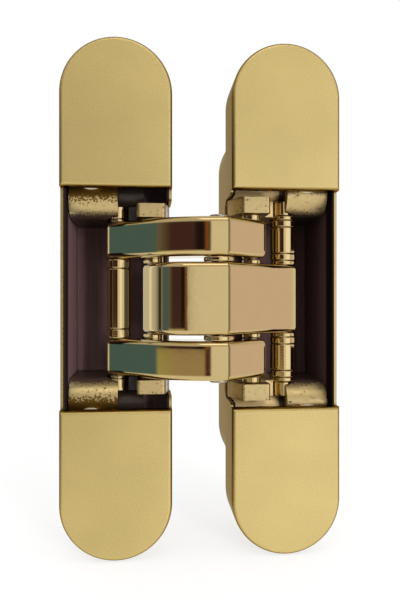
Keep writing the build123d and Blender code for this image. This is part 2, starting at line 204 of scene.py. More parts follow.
def polished_gold_plate(finish):
    """Zinc casting, buffed and gold plated: a faintly rippled mirror, its edges softened by the mop."""
    material, tree, shader, place = new_material("polished_gold_plate")
    ripple_size = 2.5
    haze_size = 0.4
    ripple = add_node(tree, NOISE, {"Vector": place, "Scale": per_metre(ripple_size), "Detail": 1.0})
    haze = add_node(
        tree,
        NOISE,
        {"Vector": place, "Scale": per_metre(haze_size), "Detail": 4.0, "Roughness": 0.65},
    )
    plated = add_node(
        tree,
        MIX,
        {"Factor": ripple, "A": shade(finish.plate_colour, 0.96), "B": opaque(finish.plate_colour)},
        data_type="RGBA",
    )
    # Painted dark reflection: the colour turns dark along a sharp edge, where the mopped normal parts
    # from the surface's own
    mopped = add_node(tree, "ShaderNodeBevel", {"Radius": finish.mop_radius}, samples=16)
    cast = add_node(tree, "ShaderNodeNewGeometry", output="Normal")
    flat = add_node(tree, "ShaderNodeVectorMath", {0: mopped, 1: cast}, operation="DOT_PRODUCT")
    clear_of_edge_shade = add_node(tree, RANGE, {"Value": flat, "From Min": 0.965, "From Max": 0.995})
    colour = add_node(
        tree,
        MIX,
        {"Factor": clear_of_edge_shade, "A": opaque(finish.edge_shade_colour), "B": plated},
        data_type="RGBA",
    )
    gloss = add_node(tree, RANGE, {"Value": haze, **NOISE_SPAN, "To Min": 0.04, "To Max": 0.10})
    finish_shader(tree, shader, colour, gloss, ripple, depth_mm=0.004, normal=mopped)
    return material


def turned_gold_plate(finish):
    """Steel turned on a lathe and gold plated: bright, with fine lines round the axis."""
    material, tree, shader, place = new_material("turned_gold_plate")
    # A tool leaves lines a tenth of a millimetre apart; they are drawn wider so that they show
    line_spacing = 0.35
    lines = add_node(
        tree,
        WAVE,
        {"Vector": place, "Scale": bands_per_metre(line_spacing), "Distortion": 1.0, "Detail": 2.0},
        output="Fac",
        bands_direction="Z",
    )
    colour = add_node(
        tree,
        MIX,
        {"Factor": lines, "A": shade(finish.plate_colour, 0.94), "B": opaque(finish.plate_colour)},
        data_type="RGBA",
    )
    gloss = add_node(tree, RANGE, {"Value": lines, "To Min": 0.06, "To Max": 0.12})
    finish_shader(tree, shader, colour, gloss, lines, depth_mm=0.002)
    return material


def plated_casting(leaf, finish, sizes):
    """Zinc casting plated as cast: bright, mottled and a little pitted, less metallic at its recessed
    back; painted shade darkens it under the cap, at the blocks' feet and at the frame carriers' back.
    """
    material, tree, shader, place = new_material(f"{leaf}_carrier_gold_plate")
    under_cap_shade_height = getattr(sizes, f"{leaf}_under_cap_shade_height")
    skin_size = 0.45
    pit_size = 0.7
    grain = {"Vector": place, "Detail": 3.0, "Roughness": 0.6}
    skin = add_node(tree, NOISE, {**grain, "Scale": per_metre(skin_size)})
    pits = add_node(tree, NOISE, {**grain, "Scale": per_metre(pit_size)})
    axes = add_node(tree, AXES, {"Vector": place}).node.outputs
    sound = add_node(tree, RANGE, {"Value": pits, "From Min": 0.31, "From Max": 0.38})
    plated = add_node(
        tree,
        MIX,
        {"Factor": sound, "A": opaque(finish.speck_colour), "B": opaque(finish.plate_colour)},
        data_type="RGBA",
    )
    # Painted shade: close under the cap the colour turns dark, with a ragged, specked edge, standing in
    # for the cap's shade and its dark reflection
    ragged = 8.0 * MM
    fade = 0.3 * MM
    limit = under_cap_shade_height + ragged / 2
    height = add_node(tree, MATH, {0: axes["Z"]}, operation="ABSOLUTE")
    height = add_node(tree, MATH, {0: skin, 1: ragged, 2: height}, operation="MULTIPLY_ADD")
    specks = {"From Min": limit - fade, "From Max": limit + fade}
    dull = add_node(tree, RANGE, {"Value": height, **specks})
    front = add_node(
        tree,
        MIX,
        {"Factor": dull, "A": plated, "B": opaque(finish.under_cap_shade_colour)},
        data_type="RGBA",
    )
    # Painted shade: the foot of each block, and the recessed back of the frame leaf's carriers, take
    # colours as dark as the pocket for the shade there; the door leaf's recessed back keeps a light
    # colour, and every recessed back is less metallic
    outward = add_node(tree, MATH, {0: axes["X"], 1: middle_x}, operation="SUBTRACT")
    outward = add_node(tree, MATH, {0: outward}, operation="ABSOLUTE")
    end = {"From Min": sizes.block_reach - fade, "From Max": sizes.block_reach}
    foot = add_node(tree, RANGE, {"Value": outward, **end})
    # The frame leaf's bridge colour is painted shade
    bridge_colour = getattr(finish, f"{leaf}_bridge_colour")
    back = add_node(
        tree,
        MIX,
        {"Factor": foot, "A": opaque(bridge_colour), "B": opaque(finish.foot_shade_colour)},
        data_type="RGBA",
    )
    ragged = 4.0 * MM
    fade = 0.4 * MM
    limit = getattr(sizes, f"{leaf}_recess_depth") + ragged / 2
    depth = add_node(tree, MATH, {0: skin, 1: ragged, 2: axes["Y"]}, operation="MULTIPLY_ADD")
    in_recess = add_node(tree, RANGE, {"Value": depth, "From Min": limit - fade, "From Max": limit + fade})
    colour = add_node(tree, MIX, {"Factor": in_recess, "A": front, "B": back}, data_type="RGBA")
    gloss = add_node(tree, RANGE, {"Value": pits, **NOISE_SPAN, "To Min": 0.44, "To Max": 0.28})
    finish_shader(tree, shader, colour, gloss, skin, depth_mm=0.02)
    metal = add_node(tree, RANGE, {"Value": in_recess, "To Min": 1.0, "To Max": 0.25})
    tree.links.new(metal, shader.inputs["Metallic"])
    return material


def leaf_casting(leaf, finish, sizes, centre):
    """Zinc leaf with draw marks from its mould, plated outside; the pocket is left dark and dull."""
    material, tree, shader, place = new_material(f"{leaf}_leaf_gold_plate")
    axes = add_node(tree, AXES, {"Vector": place}).node.outputs
    width = {1: centre, 2: sizes.pocket_width / 2}
    across = add_node(tree, MATH, {0: axes["X"], **width}, operation="COMPARE")
    length = {1: 0.0, 2: sizes.pocket_length / 2}
    along = add_node(tree, MATH, {0: axes["Z"], **length}, operation="COMPARE")
    deep = add_node(tree, MATH, {0: axes["Y"], 1: sizes.pocket_floor}, operation="LESS_THAN")
    inside = add_node(tree, MATH, {0: across, 1: along}, operation="MULTIPLY")
    inside = add_node(tree, MATH, {0: inside, 1: deep}, operation="MULTIPLY")
    # Draw marks run the length of the leaf, some thirty times as long as they are wide
    mark_width = 0.9
    stretched = add_node(tree, "ShaderNodeMapping", {"Vector": place, "Scale": (1.0, 1.0, 0.03)})
    marks = add_node(
        tree,
        NOISE,
        {"Vector": stretched, "Scale": per_metre(mark_width), "Detail": 3.0, "Roughness": 0.6},
    )
    tone = add_node(tree, RANGE, {"Value": marks, **NOISE_SPAN})
    plated = add_node(
        tree,
        MIX,
        {"Factor": tone, "A": shade(finish.leaf_colour, 0.93), "B": shade(finish.leaf_colour, 1.05)},
        data_type="RGBA",
    )
    # The door pocket's colour is darker than the frame's: painted shade
    pocket_colour = getattr(finish, f"{leaf}_pocket_colour")
    bare = add_node(
        tree,
        MIX,
        {"Factor": tone, "A": shade(pocket_colour, 0.85), "B": shade(pocket_colour, 1.15)},
        data_type="RGBA",
    )
    # Painted dark reflection: the pocket's colour is darkest at its mouth, along the front lip of its
    # walls
    fade = 1.5 * MM
    mouth = {"From Min": sizes.pocket_mouth - fade, "From Max": sizes.pocket_mouth}
    within = add_node(tree, RANGE, {"Value": axes["Y"], **mouth})
    bare = add_node(
        tree,
        MIX,
        {"Factor": within, "A": shade(pocket_colour, 0.12), "B": bare},
        data_type="RGBA",
    )
    colour = add_node(tree, MIX, {"Factor": inside, "A": plated, "B": bare}, data_type="RGBA")
    skin_size = 0.6
    skin = add_node(
        tree,
        NOISE,
        {"Vector": place, "Scale": per_metre(skin_size), "Detail": 4.0, "Roughness": 0.6},
    )
    gloss = add_node(tree, RANGE, {"Value": skin, **NOISE_SPAN, "To Min": 0.24, "To Max": 0.36})
    finish_shader(tree, shader, colour, gloss, skin, depth_mm=0.008)
    metal = add_node(tree, RANGE, {"Value": inside, "To Min": 1.0, "To Max": 0.0})
    tree.links.new(metal, shader.inputs["Metallic"])
    mirror = add_node(tree, RANGE, {"Value": inside, "To Min": 0.5, "To Max": 0.0})
    tree.links.new(mirror, shader.inputs["Specular IOR Level"])
    # The sides dull towards a flat glance, where plain metal would turn white
    shader.inputs["Specular Tint"].default_value = opaque(finish.glance_colour)
    return material


def bright_steel(finish):
    """Ground steel: grey and bright, with fine grinding lines round the axis."""
    material, tree, shader, place = new_material("bright_ground_steel")
    # Grinding lines are finer than this; they are drawn wider so that they show
    line_spacing = 0.4
    lines = add_node(
        tree,
        WAVE,
        {"Vector": place, "Scale": bands_per_metre(line_spacing), "Distortion": 2.0, "Detail": 3.0},
        output="Fac",
        bands_direction="Z",
    )
    colour = add_node(
        tree,
        MIX,
        {"Factor": lines, "A": shade(finish.pin_colour, 0.85), "B": opaque(finish.pin_colour)},
        data_type="RGBA",
    )
    gloss = add_node(tree, RANGE, {"Value": lines, "To Min": 0.12, "To Max": 0.22})
    finish_shader(tree, shader, colour, gloss, lines, depth_mm=0.003)
    return material


def zinc_plated_steel(finish):
    """Steel screw with zinc plating: pale, cloudy and a little uneven."""
    material, tree, shader, place = new_material("zinc_plated_steel")
    cloud_size = 1.2
    clouds = add_node(
        tree,
        NOISE,
        {"Vector": place, "Scale": per_metre(cloud_size), "Detail": 4.0, "Roughness": 0.7},
    )
    tone = add_node(tree, RANGE, {"Value": clouds, **NOISE_SPAN})
    colour = add_node(
        tree,
        MIX,
        {"Factor": tone, "A": shade(finish.screw_colour, 0.75), "B": opaque(finish.screw_colour)},
        data_type="RGBA",
    )
    gloss = add_node(tree, RANGE, {"Value": tone, "To Min": 0.18, "To Max": 0.32})
    finish_shader(tree, shader, colour, gloss, clouds, depth_mm=0.008)
    return material


SCREW_INPUTS = {
    "Head Radius": "NodeSocketFloat",
    "Head Height": "NodeSocketFloat",
    "Head Chamfer": "NodeSocketFloat",
    "Shank Radius": "NodeSocketFloat",
    "Shank Length": "NodeSocketFloat",
    "Thread Pitch": "NodeSocketFloat",
    "Thread Depth": "NodeSocketFloat",
    "Key Flats": "NodeSocketFloat",
    "Key Depth": "NodeSocketFloat",
    "First Place": "NodeSocketVector",
    "Step": "NodeSocketVector",
    "Material": "NodeSocketMaterial",
}


def screw_pair_tree():
    """Geometry nodes for a row of two screws: a head with a hexagon socket on a grooved shank."""
    tree = bpy.data.node_groups.new("adjusting_screw_pair", "GeometryNodeTree")
    for name, kind in SCREW_INPUTS.items():
        tree.interface.new_socket(name, in_out="INPUT", socket_type=kind)
    tree.interface.new_socket("Geometry", in_out="OUTPUT", socket_type="NodeSocketGeometry")
    given = add_node(tree, "NodeGroupInput").node.outputs
    spot = add_node(tree, "GeometryNodeInputPosition")
    level = add_node(tree, AXES, {"Vector": spot}, output="Z")

    def barrel(radius, length, middle, sides, levels):
        """A round or six-sided bar along Z with its middle at a height."""
        bar = add_node(
            tree,
            "GeometryNodeMeshCylinder",
            {"Vertices": sides, "Side Segments": levels, "Radius": radius, "Depth": length},
        )
        lift = add_node(tree, "ShaderNodeCombineXYZ", {"Z": middle})
        return add_node(tree, "GeometryNodeTransform", {"Geometry": bar, "Translation": lift})

    def draw_in(mesh, amount, radius, chosen):
        """Moves the chosen points towards the axis by an amount measured at a radius."""
        share = add_node(tree, MATH, {0: amount, 1: -1.0}, operation="MULTIPLY")
        share = add_node(tree, MATH, {0: share, 1: radius}, operation="DIVIDE")
        scale = add_node(tree, "ShaderNodeCombineXYZ", {"X": share, "Y": share})
        inward = add_node(tree, "ShaderNodeVectorMath", {0: spot, 1: scale}, operation="MULTIPLY")
        return add_node(
            tree,
            "GeometryNodeSetPosition",
            {"Geometry": mesh, "Selection": chosen, "Offset": inward},
        )

    half_head = add_node(tree, MATH, {0: given["Head Height"], 1: 0.5}, operation="MULTIPLY")
    head = barrel(given["Head Radius"], given["Head Height"], half_head, sides=48, levels=4)
    # The head's upper row of side faces becomes the chamfer
    below_rim = add_node(tree, MATH, {0: given["Head Height"], 1: 0.9}, operation="MULTIPLY")
    rim = add_node(tree, MATH, {0: level, 1: below_rim}, operation="GREATER_THAN")
    head = draw_in(head, given["Head Chamfer"], given["Head Radius"], rim)
    flats_to_corner = 2 * math.cos(math.radians(30))
    corner = add_node(tree, MATH, {0: given["Key Flats"], 1: flats_to_corner}, operation="DIVIDE")
    key_length = add_node(tree, MATH, {0: given["Key Depth"], 1: 2.0}, operation="MULTIPLY")
    key = barrel(corner, key_length, given["Head Height"], sides=6, levels=1)
    cut_head = add_node(
        tree,
        "GeometryNodeMeshBoolean",
        {"Mesh 1": head, "Mesh 2": key},
        operation="DIFFERENCE",
        solver="EXACT",
    )

    half_shank = add_node(tree, MATH, {0: given["Shank Length"], 1: -0.5}, operation="MULTIPLY")
    shank = barrel(given["Shank Radius"], given["Shank Length"], half_shank, sides=32, levels=96)
    # The thread is drawn as rings, a wave along the shank; only its outline can be seen
    turns = add_node(tree, MATH, {0: level, 1: given["Thread Pitch"]}, operation="DIVIDE")
    turns = add_node(tree, MATH, {0: turns, 1: math.tau}, operation="MULTIPLY")
    wave = add_node(tree, MATH, {0: turns}, operation="COSINE")
    wave = add_node(tree, RANGE, {"Value": wave, "From Min": -1.0})
    groove = add_node(tree, MATH, {0: wave, 1: given["Thread Depth"]}, operation="MULTIPLY")
    shank = draw_in(shank, groove, given["Shank Radius"], True)

    screw = add_node(tree, "GeometryNodeJoinGeometry", {"Geometry": cut_head})
    tree.links.new(shank, screw.node.inputs["Geometry"])
    row = add_node(
        tree,
        "GeometryNodeMeshLine",
        {"Count": 2, "Start Location": given["First Place"], "Offset": given["Step"]},
    )
    # A quarter turn points the heads out of the timber, towards the front
    quarter_turn = (math.radians(90), 0.0, 0.0)
    pair = add_node(
        tree,
        "GeometryNodeInstanceOnPoints",
        {"Points": row, "Instance": screw, "Rotation": quarter_turn},
    )
    solid = add_node(tree, "GeometryNodeRealizeInstances", {"Geometry": pair})
    dressed = add_node(
        tree, "GeometryNodeSetMaterial", {"Geometry": solid, "Material": given["Material"]}
    )
    add_node(tree, "NodeGroupOutput", {"Geometry": dressed})
    return tree


def grow(name, tree, values):
    """A mesh object grown from a geometry node tree, its inputs set by name."""
    piece = bpy.data.objects.new(name, bpy.data.meshes.new(name))
    bpy.context.scene.collection.objects.link(piece)
    nodes = piece.modifiers.new("grow", "NODES")
    nodes.node_group = tree
    for item in tree.interface.items_tree:
        if item.in_out == "INPUT":
            nodes[item.identifier] = values[item.name]
    grown = piece.evaluated_get(bpy.context.evaluated_depsgraph_get())
    mesh = bpy.data.meshes.new_from_object(grown)
    piece.modifiers.remove(nodes)
    piece.data = mesh
    mesh.polygons.foreach_set("use_smooth", [True] * len(mesh.polygons))
    mesh.set_sharp_from_angle(angle=math.radians(25))
    return piece


def dress(material, names):
    """Gives CAD nodes a material in the slot they came with."""
    for name in names:
        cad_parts[name].material_slots[0].material = material


def size_setting(name, description, size_mm):
    """A length that a user may change, given in millimetres."""
    return bpy.props.FloatProperty(
        name=name,
        description=description,
        default=size_mm * MM,
        subtype="DISTANCE",
        unit="LENGTH",
    )


def place_setting(name, description, place_mm):
    """A place that a user may change, given in millimetres."""
    return bpy.props.FloatVectorProperty(
        name=name,
        description=description,
        default=[value * MM for value in place_mm],
        subtype="XYZ",
        unit="LENGTH",
    )


def colour_setting(name, description, hex_colour):
    """A colour that a user may change, given as sRGB hex."""
    return bpy.props.FloatVectorProperty(
        name=name,
        description=description,
        default=linear(hex_colour),
        subtype="COLOR",
    )


class HingeSizes(bpy.types.PropertyGroup):
    """Sizes that the looks need beside the frame's own."""

    pocket_width: size_setting(
        "Pocket Width", "Width of a leaf's dark pocket, with the inner half of its rims", 22.8
    )
    pocket_length: size_setting("Pocket Length", "Length of a leaf's pocket with its shelves", 63.8)
    pocket_floor: size_setting("Pocket Floor", "Where a leaf's pocket ends, along Y", 14.4)
    # Painted dark reflection reaches back to here from the pocket's mouth
    pocket_mouth: size_setting("Pocket Mouth", "Where the pocket's dark mouth ends, along Y", -3.5)
    # Painted shade: distances from the middle beyond which the carriers take their painted under-cap
    # shade
    frame_under_cap_shade_height: size_setting(
        "Frame Dull Height",
        "Distance from the middle at which the frame carriers' plating turns dull",
        21.9,
    )
    door_under_cap_shade_height: size_setting(
        "Door Dull Height",
        "Distance from the middle at which the door carriers' plating turns dull",
        24.9,
    )
    block_reach: size_setting(
        "Block Reach", "Distance of the carriers' blocks from the middle of the hinge", 19.0
    )
    # Where the carriers' recessed back begins, along Y; the frame leaf's gets painted shade there
    frame_recess_depth: size_setting(
        "Frame Plated Depth", "Where the frame carriers' plating ends, along Y", -4.2
    )
    door_recess_depth: size_setting(
        "Door Plated Depth", "Where the door carriers' plating ends, along Y", -3.6
    )


class HingeScrews(bpy.types.PropertyGroup):
    """Sizes of the adjusting screws beside their boxes in the frame."""

    head_height: size_setting("Head Height", "Height of a screw's head", 1.7)
    head_chamfer: size_setting("Head Chamfer", "How far the head's rim is drawn in", 0.45)
    shank_radius: size_setting("Shank Radius", "Radius over the thread", 2.0)
    thread_pitch: size_setting("Thread Pitch", "Distance from one thread to the next", 0.7)
    thread_depth: size_setting("Thread Depth", "Depth of the groove between threads", 0.35)
    key_flats: size_setting("Key Flats", "Width of the hexagon socket across its flats", 3.0)
    key_depth: size_setting("Key Depth", "Depth of the hexagon socket", 1.1)


class HingeFinish(bpy.types.PropertyGroup):
    """Colours of the hinge's finishes."""

    cap_colour: colour_setting("Caps", "Satin gold lacquer of the end caps", "#D9C382")
    # Colour of the faces turned away from the front, round the caps' rims
    rim_colour: colour_setting("Cap Rims", "Thin lacquer round the rims of the end caps", "#96793F")
    plate_colour: colour_setting(
        "Gold Plate", "Polished gold plate of the arms, carriers and turned parts", "#CBB47F"
    )
    leaf_colour: colour_setting("Leaves", "Plated outside of the leaves", "#BCA975")
    glance_colour: colour_setting(
        "Flat Glance", "Tint of the leaves and caps where they are seen along the surface", "#A99A84"
    )
    frame_pocket_colour: colour_setting(
        "Frame Pocket", "Bare, dark metal inside the frame leaf's pocket", "#705856"
    )
    # Painted shade: darker than the frame pocket, for the door pocket that takes less light
    door_pocket_colour: colour_setting(
        "Door Pocket", "Bare, dark metal inside the door leaf's pocket", "#584342"
    )
    # Painted dark reflection along the arms' sharp edges
    edge_shade_colour: colour_setting("Edges", "Thin plating along the arms' sharp edges", "#5F5526")
    # Painted shade: colour of the carriers close under the caps, where the caps shade them
    under_cap_shade_colour: colour_setting(
        "Dull Plating", "Dull plating of the carriers close under the caps", "#6B501F"
    )
    # Painted shade at the foot of the carriers' blocks
    foot_shade_colour: colour_setting(
        "Block Feet", "Bare metal at the foot of the carriers' blocks", "#46362C"
    )
    # Painted shade at the recessed back of the frame leaf's lugs
    frame_bridge_colour: colour_setting(
        "Frame Bridges", "Bare metal at the back of the frame leaf's lugs", "#2E231B"
    )
    door_bridge_colour: colour_setting(
        "Door Bridges", "Thin plating at the back of the door leaf's lugs", "#D2B681"
    )
    speck_colour: colour_setting("Specks", "Pits in the carriers' plating", "#4A3D22")
    pin_colour: colour_setting("Pins", "Ground steel pins", "#B9B2A4")
    screw_colour: colour_setting("Screws", "Zinc plating of the adjusting screws", "#CFC6AE")
    mop_radius: size_setting("Mop Radius", "How far buffing softens the arms' sharp edges", 0.9)


class HingeStage(bpy.types.PropertyGroup):
    """Light, surroundings and camera."""

    floor_colour: colour_setting("Floor", "Pale floor and backdrop", "#959595")
    floor_glow: bpy.props.FloatProperty(
        name="Floor Glow",
        description="How much of the floor's white is its own light for the eye",
        default=0.7,
        min=0.0,
        max=1.0,
        subtype="FACTOR",
    )
    card_inset: size_setting("Card Inset", "Distance of a side card from the outside of its leaf", 1.15)
    card_depth: size_setting("Card Depth", "How far a side card reaches into its leaf", 7.0)
    nose_card_gap: size_setting(
        "Nose Card Gap", "Distance of the nose's card from the centre arm's nose", 0.5
    )
    nose_card_front: size_setting("Nose Card Front", "Where the nose's card begins, along Y", -10.4)
    nose_card_depth: size_setting("Nose Card Depth", "How far the nose's card reaches back", 8.4)
    lamp_height: size_setting("Lamp Height", "Height of both lamps", 200.0)
    front_lamp_width: size_setting("Front Lamp Width", "Width of the lamp high in front", 300.0)
    front_lamp_place: place_setting(
        "Front Lamp Place", "Where the lamp high in front stands", (50.0, -300.0, 450.0)
    )
    front_lamp_power: bpy.props.FloatProperty(
        name="Front Lamp Power",
        description="Power of the lamp high in front",
        default=0.25,
        subtype="POWER",
        unit="POWER",
    )
    side_lamp_width: size_setting("Side Lamp Width", "Width of the lamp to the right", 120.0)
    side_lamp_place: place_setting(
        "Side Lamp Place", "Where the lamp to the right stands", (230.0, -453.0, 30.0)
    )
    side_lamp_power: bpy.props.FloatProperty(
        name="Side Lamp Power",
        description="Power of the lamp to the right",
        default=2.6,
        subtype="POWER",
        unit="POWER",
    )
    camera_place: place_setting("Camera Place", "Where the camera stands", (6.59, -135.5, -0.3))
    camera_turn: bpy.props.FloatProperty(
        name="Camera Turn",
        description="How far the camera is turned from the leaves' faces towards the door leaf",
        default=math.radians(5.217),
        subtype="ANGLE",
        unit="ROTATION",
    )
    camera_lens: bpy.props.FloatProperty(
        name="Lens",
        description="Focal length for a 36 mm high picture",
        default=34.79,
        subtype="DISTANCE_CAMERA",
        unit="CAMERA",
    )


class HINGE_OT_leaves(bpy.types.Operator):
    """Finishes the two cast leaves"""

    bl_idname = "hinge.leaves"
    bl_label = "Finish Leaves"

    def execute(self, context):
        for leaf in LEAVES:
            low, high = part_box(f"{leaf}_housing")
            centre = (low.x + high.x) / 2
            casting = leaf_casting(
                leaf, context.scene.hinge_finish, context.scene.hinge_sizes, centre
            )
            dress(casting, [f"{leaf}_housing"])
        return {"FINISHED"}


class HINGE_OT_caps(bpy.types.Operator):
    """Finishes the four end caps"""

    bl_idname = "hinge.caps"
    bl_label = "Finish Caps"

    def execute(self, context):
        lacquer = satin_gold_lacquer(context.scene.hinge_finish)
        dress(lacquer, [f"{leaf}_cap_{end}" for leaf in LEAVES for end in ENDS])
        return {"FINISHED"}


class HINGE_OT_carriers(bpy.types.Operator):
    """Finishes the four carriers that hold the pins"""

    bl_idname = "hinge.carriers"
    bl_label = "Finish Carriers"

    def execute(self, context):
        for leaf in LEAVES:
            casting = plated_casting(leaf, context.scene.hinge_finish, context.scene.hinge_sizes)
            dress(casting, [f"{leaf}_carrier_{end}" for end in ENDS])
        return {"FINISHED"}


class HINGE_OT_arms(bpy.types.Operator):
    """Finishes the three arms"""

    bl_idname = "hinge.arms"
    bl_label = "Finish Arms"

    def execute(self, context):
        plate = polished_gold_plate(context.scene.hinge_finish)
        dress(plate, ["centre_arm", "outer_arm_upper", "outer_arm_lower"])
        return {"FINISHED"}


class HINGE_OT_turned_parts(bpy.types.Operator):
    """Finishes the sleeves, rings, rollers and washers on the pins"""

    bl_idname = "hinge.turned_parts"
    bl_label = "Finish Turned Parts"

    def execute(self, context):
        plate = turned_gold_plate(context.scene.hinge_finish)
        dress(
            plate,
            [
                "crossing_washers",
                "frame_pivot_spacers",
                "door_pivot_sleeve",
                "door_pivot_washers",
                "frame_slide_tube",
                "frame_slide_rings",
                "frame_slide_washers",
                "frame_slide_rollers",
                "door_slide_rings",
                "door_slide_collars",
                "door_slide_bushes",
                "door_slide_rollers",
            ],
        )
        return {"FINISHED"}


class HINGE_OT_pins(bpy.types.Operator):
    """Finishes the pivot, slide and crossing pins"""

    bl_idname = "hinge.pins"
    bl_label = "Finish Pins"

    def execute(self, context):
        steel = bright_steel(context.scene.hinge_finish)
        pins = [f"{leaf}_{kind}_pin" for leaf in LEAVES for kind in ("pivot", "slide")]
        dress(steel, pins + ["crossing_pin"])
        return {"FINISHED"}


class HINGE_OT_adjusting_screws(bpy.types.Operator):
    """Makes the adjusting screws, two to a leaf, with their threads and sockets"""

    bl_idname = "hinge.adjusting_screws"
    bl_label = "Make Adjusting Screws"

    def execute(self, context):
        screws = context.scene.hinge_screws
        zinc = zinc_plated_steel(context.scene.hinge_finish)
        tree = screw_pair_tree()
        for leaf in LEAVES:
            name = f"{leaf}_adjusting_screws"
            low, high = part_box(name)
            head_radius = (high.x - low.x) / 2
            seat = low.y + screws.head_height
            top = (low.x + head_radius, seat, high.z - head_radius)
            pair = grow(
                f"{name}_threaded",
                tree,
                {
                    "Head Radius": head_radius,
                    "Head Height": screws.head_height,
                    "Head Chamfer": screws.head_chamfer,
                    "Shank Radius": screws.shank_radius,
                    "Shank Length": high.y - seat,
                    "Thread Pitch": screws.thread_pitch,
                    "Thread Depth": screws.thread_depth,
                    "Key Flats": screws.key_flats,
                    "Key Depth": screws.key_depth,
                    "First Place": top,
                    "Step": (0.0, 0.0, low.z + 2 * head_radius - high.z),
                    "Material": zinc,
                },
            )
            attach(pair, f"{leaf}_leaf")
            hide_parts(name)
        return {"FINISHED"}


class HINGE_OT_stage(bpy.types.Operator):
    """Sets the floor, the surroundings, the cards, the lamps and the camera"""

    bl_idname = "hinge.stage"
    bl_label = "Set Stage"

    def execute(self, context):
        scene = context.scene
        stage = scene.hinge_stage
        scene.view_settings.view_transform = "Standard"
        self.add_floor(scene, stage)
        self.add_surroundings(scene)
        self.add_cards(scene, stage)
        self.add_lamps(scene, stage)
        self.add_camera(scene, stage)
        return {"FINISHED"}

    def add_floor(self, scene, stage):
        """A pale floor under the leaves' lower ends; the camera sees it white apart from the shadow."""
        gap = 0.2 * MM
        reach = 4.0
        grain_size = 3.0
        bottom = cad_box[0][2] - gap
        plan = ((-reach, -reach), (reach, -reach), (reach, reach), (-reach, reach))
        corners = [(x, y, bottom) for x, y in plan]
        floor = self.add_sheet(scene, "floor", corners)
        material, tree, shader, place = new_material("matt_white_board")
        grain = add_node(
            tree, NOISE, {"Vector": place, "Scale": per_metre(grain_size), "Detail": 2.0}
        )
        gloss = add_node(tree, RANGE, {"Value": grain, "To Min": 0.85, "To Max": 0.95})
        tree.links.new(gloss, shader.inputs["Roughness"])
        shader.inputs["Base Color"].default_value = opaque(stage.floor_colour)
        shader.inputs["Specular IOR Level"].default_value = 0.0
        # The board's own glow, for the eye only, keeps it white and its shadow light
        eye = add_node(tree, "ShaderNodeLightPath", output="Is Camera Ray")
        glow = add_node(tree, MATH, {0: eye, 1: stage.floor_glow}, operation="MULTIPLY")
        tree.links.new(glow, shader.inputs["Emission Strength"])
        shader.inputs["Emission Color"].default_value = opaque(WHITE)
        floor.data.materials.append(material)
        floor.visible_glossy = False

    def add_sheet(self, scene, name, corners):
        """A flat sheet between four corners."""
        mesh = bpy.data.meshes.new(name)
        mesh.from_pydata(corners, [], [(0, 1, 2, 3)])
        sheet = bpy.data.objects.new(name, mesh)
        scene.collection.objects.link(sheet)
        return sheet

    def add_surroundings(self, scene):
        """White all round for the eye; polished metal also meets the studio's flags and warm side."""
        # Heights are sines of the angle above the horizon
        board_top = {"From Min": -0.09, "From Max": -0.068}
        horizon = {"From Min": -0.1, "From Max": 0.1}
        ring_edge = {"From Min": 0.22, "From Max": 0.42}
        table = (1.0, 0.98, 0.94)
        ceiling = (0.72, 0.69, 0.64)
        world = bpy.data.worlds.new("studio")
        scene.world = world
        world.use_nodes = True
        tree = world.node_tree
        tree.nodes.clear()
        way = add_node(tree, "ShaderNodeTexCoord", output="Generated")
        axes = add_node(tree, AXES, {"Vector": way}).node.outputs
        left = add_node(tree, MATH, {0: axes["X"], 1: -1.0}, operation="MULTIPLY")
        front = add_node(tree, MATH, {0: axes["Y"], 1: -1.0}, operation="MULTIPLY")
        turn = add_node(tree, MATH, {0: left, 1: front}, operation="ARCTAN2")
        turn = add_node(tree, RANGE, {"Value": turn, "From Min": -math.pi, "From Max": math.pi})
        upper = add_node(tree, RAMP, {"Fac": turn})
        set_ramp(upper.node.color_ramp, self.ring_of_studio(self.dark_flag()))
        lower = add_node(tree, RAMP, {"Fac": turn})
        set_ramp(lower.node.color_ramp, self.ring_of_studio(self.wooden_board()))
        height = add_node(tree, RANGE, {"Value": axes["Z"], **board_top})
        ring = add_node(tree, MIX, {"Factor": height, "A": lower, "B": upper}, data_type="RGBA")
        # The white table gives more light than the ceiling
        side = add_node(tree, RANGE, {"Value": axes["Z"], **horizon})
        ends = add_node(
            tree, MIX, {"Factor": side, "A": opaque(table), "B": opaque(ceiling)}, data_type="RGBA"
        )
        away = add_node(tree, MATH, {0: axes["Z"]}, operation="ABSOLUTE")
        away = add_node(tree, RANGE, {"Value": away, **ring_edge})
        studio = add_node(tree, MIX, {"Factor": away, "A": ring, "B": ends}, data_type="RGBA")
        mirrored = add_node(tree, "ShaderNodeLightPath", output="Is Glossy Ray")
        seen = add_node(
            tree, MIX, {"Factor": mirrored, "A": opaque(WHITE), "B": studio}, data_type="RGBA"
        )
        light = add_node(tree, "ShaderNodeBackground", {"Color": seen, "Strength": 1.0})
        add_node(tree, "ShaderNodeOutputWorld", {"Surface": light})

    def dark_flag(self):
        """A dark cloth to the left of the front, worn brown at its far edge, by degrees to the left."""
        black = (0.020, 0.012, 0.010)
        amber = (0.270, 0.112, 0.040)
        red_brown = (0.075, 0.036, 0.045)
        worn = (0.200, 0.175, 0.160)
        return [
            (6.8, black),
            (7.6, black),
            (8.2, amber),
            (10.5, amber),
            (12.0, black),
            (20.0, black),
            (24.0, red_brown),
            (50.0, red_brown),
            (66.0, worn),
        ]

    def wooden_board(self):
        """A varnished board below the cloth, with a dark edge, by degrees to the left."""
        edge = (0.090, 0.030, 0.020)
        brown = (0.490, 0.400, 0.280)
        olive = (0.490, 0.500, 0.226)
        return [(6.8, edge), (10.5, edge), (12.0, brown), (40.0, brown), (66.0, olive)]

